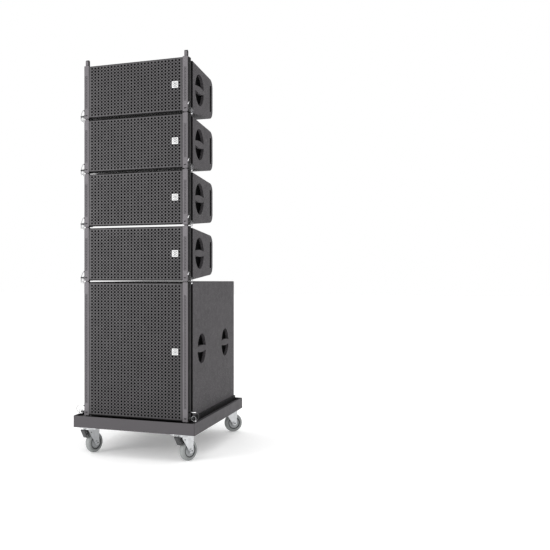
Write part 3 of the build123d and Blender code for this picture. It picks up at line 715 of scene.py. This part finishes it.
# Behind the rails' front faces, and above the bass unit's foot, in millimetres
SIDE_SCREWS_BACK = (154, 736)
SIDE_SCREWS_UP = (45, 611)
PLATE_SCREW_RADIUS = 3.4 * MM
PLATE_DEPTH = 1 * MM
# Either way from the input plate's middle
PLATE_SCREW_X = 68 * MM
PLATE_SCREW_Z = 35 * MM
SOCKET_X = 35 * MM
# A ring nut's outline: millimetres out of the plate, and radius
RING_NUT = ((0, 13.3), (0, 16), (0.7, 15.6), (0.9, 13.8), (0.5, 13.3))


def screw_head(shape, place, axis, radius):
    """A countersunk head with a round recess, standing just proud of its surface."""
    profile = (
        (-0.3 * MM, radius), (0.15 * MM, radius), (0.3 * MM, radius * 0.86), (0.3 * MM, radius * 0.3),
        (-0.25 * MM, radius * 0.18),
    )
    shape.rings(turned_rings(profile, place, axis, 20))


def bass_side_screws():
    """The small screws near the corners of the bass unit's sides."""
    side_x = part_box("sub_cabinet")[1].x
    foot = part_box("sub_rails")[0].z
    shape = Shape()
    for side, sign in SIDES:
        for back in SIDE_SCREWS_BACK:
            for up in SIDE_SCREWS_UP:
                place = (sign * side_x, FRONT + back * MM, foot + up * MM)
                screw_head(shape, place, (sign, 0, 0), SIDE_SCREW_RADIUS)
    shape.piece("side_screws_sub", SCREW, "root")


def plate_screws(unit):
    """Four screws in the corners of a rear input plate, and a ring nut round each socket."""
    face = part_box(node_of_unit("cabinet", unit))[1].y - PLATE_DEPTH
    low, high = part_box(node_of_unit("rails", unit))
    middle_z = (low.z + high.z) / 2
    shape = Shape()
    for x in (-PLATE_SCREW_X, PLATE_SCREW_X):
        for z in (-PLATE_SCREW_Z, PLATE_SCREW_Z):
            screw_head(shape, (x, face, middle_z + z), (0, 1, 0), PLATE_SCREW_RADIUS)
    for x in (-SOCKET_X, SOCKET_X):
        shape.hoop(turned_rings(in_metres(RING_NUT), (x, face, middle_z), (0, 1, 0), 40))
    shape.piece(f"plate_screws_{unit}", SCREW, body_of_unit(unit))


bass_side_screws()
for unit in UNITS:
    plate_screws(unit)

# ------------------------------------------------------------------------------------------------
# A dark sheet in the slots at the back of the elements' sides, painted shade for their shaded insides
# ------------------------------------------------------------------------------------------------
SLOT_MIDDLE_Y = FRONT + 355 * MM
SLOT_HALF = (11 * MM, 66 * MM)
# Out from the object's middle
SLOT_FLOOR = 240 * MM
SHADE_SHEET_MOUTH = 269.4 * MM
SHADE_SHEET_THICKNESS = 0.5 * MM
SHADE_SHEET_GAP = 0.1 * MM


def slot_shade_sheets(unit):
    """An open tray of dark sheet in each rear slot: painted shade for the slot's shaded inside."""
    low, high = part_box(node_of_unit("rails", unit))
    middle_z = (low.z + high.z) / 2
    for side, sign in SIDES:
        rings = []
        stages = ((SHADE_SHEET_GAP, SLOT_FLOOR + SHADE_SHEET_GAP), (SHADE_SHEET_GAP, SHADE_SHEET_MOUTH),
                  (SHADE_SHEET_THICKNESS, SHADE_SHEET_MOUTH), (SHADE_SHEET_THICKNESS, SLOT_FLOOR + SHADE_SHEET_THICKNESS))
        for inset, x in stages:
            outline = rounded_rectangle(SLOT_HALF[0] - inset, SLOT_HALF[1] - inset, 0.5 * MM, 2)
            rings.append([(sign * x, SLOT_MIDDLE_Y + y, middle_z + z) for y, z in outline])
        shape = Shape()
        shape.rings(rings)
        shape.piece(f"slot_shade_sheet_{unit}_{side}", SLOT_SHADE, body_of_unit(unit))


for unit in ELEMENTS:
    slot_shade_sheets(unit)

# ------------------------------------------------------------------------------------------------
# Perforated grilles, foam and badges
# ------------------------------------------------------------------------------------------------
HOLE_COLUMNS = 27
HOLE_ROWS = {"1": 16, "2": 16, "3": 16, "4": 16, "sub": 42}
PITCH_X = 17.48 * MM
PITCH_Z = 15.1 * MM
HOLE_RADIUS = 5.1 * MM
SMALL_RADIUS = 3.1 * MM
SHEET = 1.5 * MM
FOLD_RADIUS = 2.0 * MM
HEM = 0.5 * MM
# A cell's outline and its hole have this many points each, and each corner of the cell has this share.
CELL_POINTS = 16
CORNER_POINTS = 4
FOAM_GAP = 0.8 * MM
FOAM_BACK = 1 * MM
FOAM_EDGE = 4 * MM
FOAM_WAVE = 0.5 * MM
FOAM_CELLS = 24
FOAM_CELLS_LEAST = 8
BADGE_X = 206 * MM
BADGE_HALF = 15.2 * MM
BADGE_CORNER = 3 * MM
BADGE_PROUD = 1.4 * MM
BADGE_SUNK = 0.2 * MM
# In from the badge's edge, and back from its face
BADGE_EDGE = ((0.15 * MM, 0.15 * MM), (0.5 * MM, 0))
BADGE_SIDE = 0.5 * MM
# The marks start just under the badge's face and stand a little proud of it.
MARK_ROOT = 0.05 * MM
LINE_HALF = 11.6 * MM
LINE_WIDTH = 2.4 * MM
LINE_CORNER = 1.6 * MM
LINE_PROUD = 0.25 * MM
RING_MARK = ((0, 3.4), (0, 6.9), (0.35, 6.6), (0.35, 3.7))


def cell_outline(half_x, half_z, notched):
    """The points round a cell; a corner in notched carries a quarter of a small hole."""
    points = []
    s, c = SMALL_RADIUS, SMALL_RADIUS * math.cos(math.radians(45))
    for index, (sx, sz) in enumerate(((1, 1), (-1, 1), (-1, -1), (1, -1))):
        corner = (sx * half_x, sz * half_z)
        flat, upright = (corner[0] - sx * s, corner[1]), (corner[0], corner[1] - sz * s)
        middle = (corner[0] - sx * c, corner[1] - sz * c) if notched[index] else corner
        points.append(((half_x, 0), (0, half_z), (-half_x, 0), (0, -half_z))[index])
        points += (upright, middle, flat) if index % 2 == 0 else (flat, middle, upright)
    return points


def cell(shape, x, z, notched, front, back):
    """One cell of the perforated sheet: both faces, the hole's wall and its share of the small holes."""
    outline = cell_outline(PITCH_X / 2, PITCH_Z / 2, notched)
    turns = [math.tau * i / CELL_POINTS for i in range(CELL_POINTS)]
    hole = [(HOLE_RADIUS * math.cos(turn), HOLE_RADIUS * math.sin(turn)) for turn in turns]
    loops = ((front, outline), (front, hole), (back, hole), (back, outline))
    verts = [(x + px, y, z + pz) for y, loop in loops for px, pz in loop]
    faces = []
    for k in range(len(loops) - 1):
        base = CELL_POINTS * k
        for i in range(CELL_POINTS):
            j = (i + 1) % CELL_POINTS
            faces.append([base + i, base + j, base + CELL_POINTS + j, base + CELL_POINTS + i])
    last = CELL_POINTS * (len(loops) - 1)
    for corner in range(4):
        if notched[corner]:
            first = CORNER_POINTS * corner + 1
            for i in (first, first + 1):
                faces.append([i, i + 1, last + i + 1, last + i])
    shape.add(verts, faces)


def grid_rim(rows):
    """The points round the whole grid of cells, from its middle, which the plain border starts from."""
    half_x, half_z = PITCH_X / 2, PITCH_Z / 2
    grid_x, grid_z = HOLE_COLUMNS * half_x, rows * half_z
    rim = []
    for column in range(HOLE_COLUMNS):
        x = (column - (HOLE_COLUMNS - 1) / 2) * PITCH_X
        rim += [(x - half_x, -grid_z), (x - half_x + SMALL_RADIUS, -grid_z), (x, -grid_z),
                (x + half_x - SMALL_RADIUS, -grid_z)]
    for row in range(rows):
        z = (row - (rows - 1) / 2) * PITCH_Z
        rim += [(grid_x, z - half_z), (grid_x, z - half_z + SMALL_RADIUS), (grid_x, z),
                (grid_x, z + half_z - SMALL_RADIUS)]
    rim += [(-x, -z) for x, z in rim]
    return rim


def perforated_grille(unit):
    """A folded steel cover with large holes on a grid and small ones between them."""
    node = node_of_unit("grille", unit)
    low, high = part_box(node)
    rows = HOLE_ROWS[unit]
    middle_x, middle_z = (low.x + high.x) / 2, (low.z + high.z) / 2
    front, back = low.y, low.y + SHEET
    shape = Shape()
    for column in range(HOLE_COLUMNS):
        for row in range(rows):
            x = middle_x + (column - (HOLE_COLUMNS - 1) / 2) * PITCH_X
            z = middle_z + (row - (rows - 1) / 2) * PITCH_Z
            right, left = column < HOLE_COLUMNS - 1, column > 0
            upper, lower = row < rows - 1, row > 0
            notched = (right and upper, left and upper, left and lower, right and lower)
            cell(shape, x, z, notched, front, back)
    grid_x, grid_z = HOLE_COLUMNS * (PITCH_X / 2), rows * (PITCH_Z / 2)
    plate_x, plate_z = (high.x - low.x) / 2, (high.z - low.z) / 2
    bend = FOLD_RADIUS * (1 - math.cos(math.radians(45)))
    stages = (
        (0, 0, front), (plate_x - FOLD_RADIUS, plate_z - FOLD_RADIUS, front),
        (plate_x - bend, plate_z - bend, front + bend), (plate_x, plate_z, front + FOLD_RADIUS),
        (plate_x, plate_z, high.y), (plate_x - SHEET, plate_z - SHEET, high.y),
        (plate_x - SHEET, plate_z - SHEET, back + HEM),
        (plate_x - FOLD_RADIUS, plate_z - FOLD_RADIUS, back), (0, 0, back),
    )
    rim = grid_rim(rows)
    rings = []
    for wide, tall, y in stages:
        scale_x, scale_z = (wide / grid_x, tall / grid_z) if wide else (1, 1)
        rings.append([(middle_x + x * scale_x, y, middle_z + z * scale_z) for x, z in rim])
    shape.rings(rings, close_start=False, close_end=False)
    obj = shape.piece(f"perforated_grille_{unit}", GRILLE, body_of_unit(unit), "grille_steel", merge=True)
    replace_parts(obj, node)


def foam(unit):
    """The open-cell foam sheet behind a grille, with its slightly uneven face."""
    low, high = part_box(node_of_unit("grille", unit))
    front, back = low.y + SHEET + FOAM_GAP, high.y - FOAM_BACK
    half_x, half_z = (high.x - low.x) / 2 - FOAM_EDGE, (high.z - low.z) / 2 - FOAM_EDGE
    middle_x, middle_z = (low.x + high.x) / 2, (low.z + high.z) / 2
    columns = FOAM_CELLS
    rows = max(FOAM_CELLS_LEAST, int(FOAM_CELLS * half_z / half_x))
    maker = random.Random(f"foam {unit}")
    verts = []
    for y, wave in ((front, FOAM_WAVE), (back, 0.0)):
        for i in range(columns + 1):
            for j in range(rows + 1):
                x = middle_x - half_x + 2 * half_x * i / columns
                z = middle_z - half_z + 2 * half_z * j / rows
                verts.append((x, y + maker.random() * wave, z))
    faces = []
    sheet_count = (columns + 1) * (rows + 1)

    def at(side, i, j):
        return side * sheet_count + i * (rows + 1) + j

    for side in (0, 1):
        for i in range(columns):
            for j in range(rows):
                square = [at(side, i, j), at(side, i + 1, j), at(side, i + 1, j + 1), at(side, i, j + 1)]
                faces.append(square)
    for i in range(columns):
        for j in (0, rows):
            faces.append([at(0, i, j), at(0, i + 1, j), at(1, i + 1, j), at(1, i, j)])
    for j in range(rows):
        for i in (0, columns):
            faces.append([at(0, i, j), at(0, i, j + 1), at(1, i, j + 1), at(1, i, j)])
    shape = Shape()
    shape.add(verts, faces)
    shape.piece(f"grille_foam_{unit}", FOAM, body_of_unit(unit))


def badge(unit):
    """A plain square badge on the grille, with a raised line inside its edge and a ring in the middle."""
    low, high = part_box(node_of_unit("grille", unit))
    middle_z = (low.z + high.z) / 2
    back, front = low.y + BADGE_SUNK, low.y - BADGE_PROUD
    stages = [(0, back), (0, front + BADGE_SIDE)]
    stages += [(inset, front + depth) for inset, depth in BADGE_EDGE]
    rings = []
    for inset, y in stages:
        outline = rounded_rectangle(BADGE_HALF - inset, BADGE_HALF - inset, BADGE_CORNER - inset)
        rings.append([(BADGE_X + x, y, middle_z + z) for x, z in outline])
    plate = Shape()
    plate.rings(rings)
    plate.piece(f"badge_{unit}", BADGE, body_of_unit(unit))
    root, top = front + MARK_ROOT, front - LINE_PROUD
    mark = Shape()
    mark.hoop(turned_rings(in_metres(RING_MARK), (BADGE_X, root, middle_z), (0, -1, 0), 40))
    inside = LINE_HALF - LINE_WIDTH
    loops = []
    for half, y in ((LINE_HALF, root), (LINE_HALF, top), (inside, top), (inside, root)):
        outline = rounded_rectangle(half, half, LINE_CORNER)
        loops.append([(BADGE_X + x, y, middle_z + z) for x, z in outline])
    mark.hoop(loops)
    mark.piece(f"badge_inlay_{unit}", BADGE_LINE, body_of_unit(unit))


for unit in UNITS:
    perforated_grille(unit)
    foam(unit)
    badge(unit)
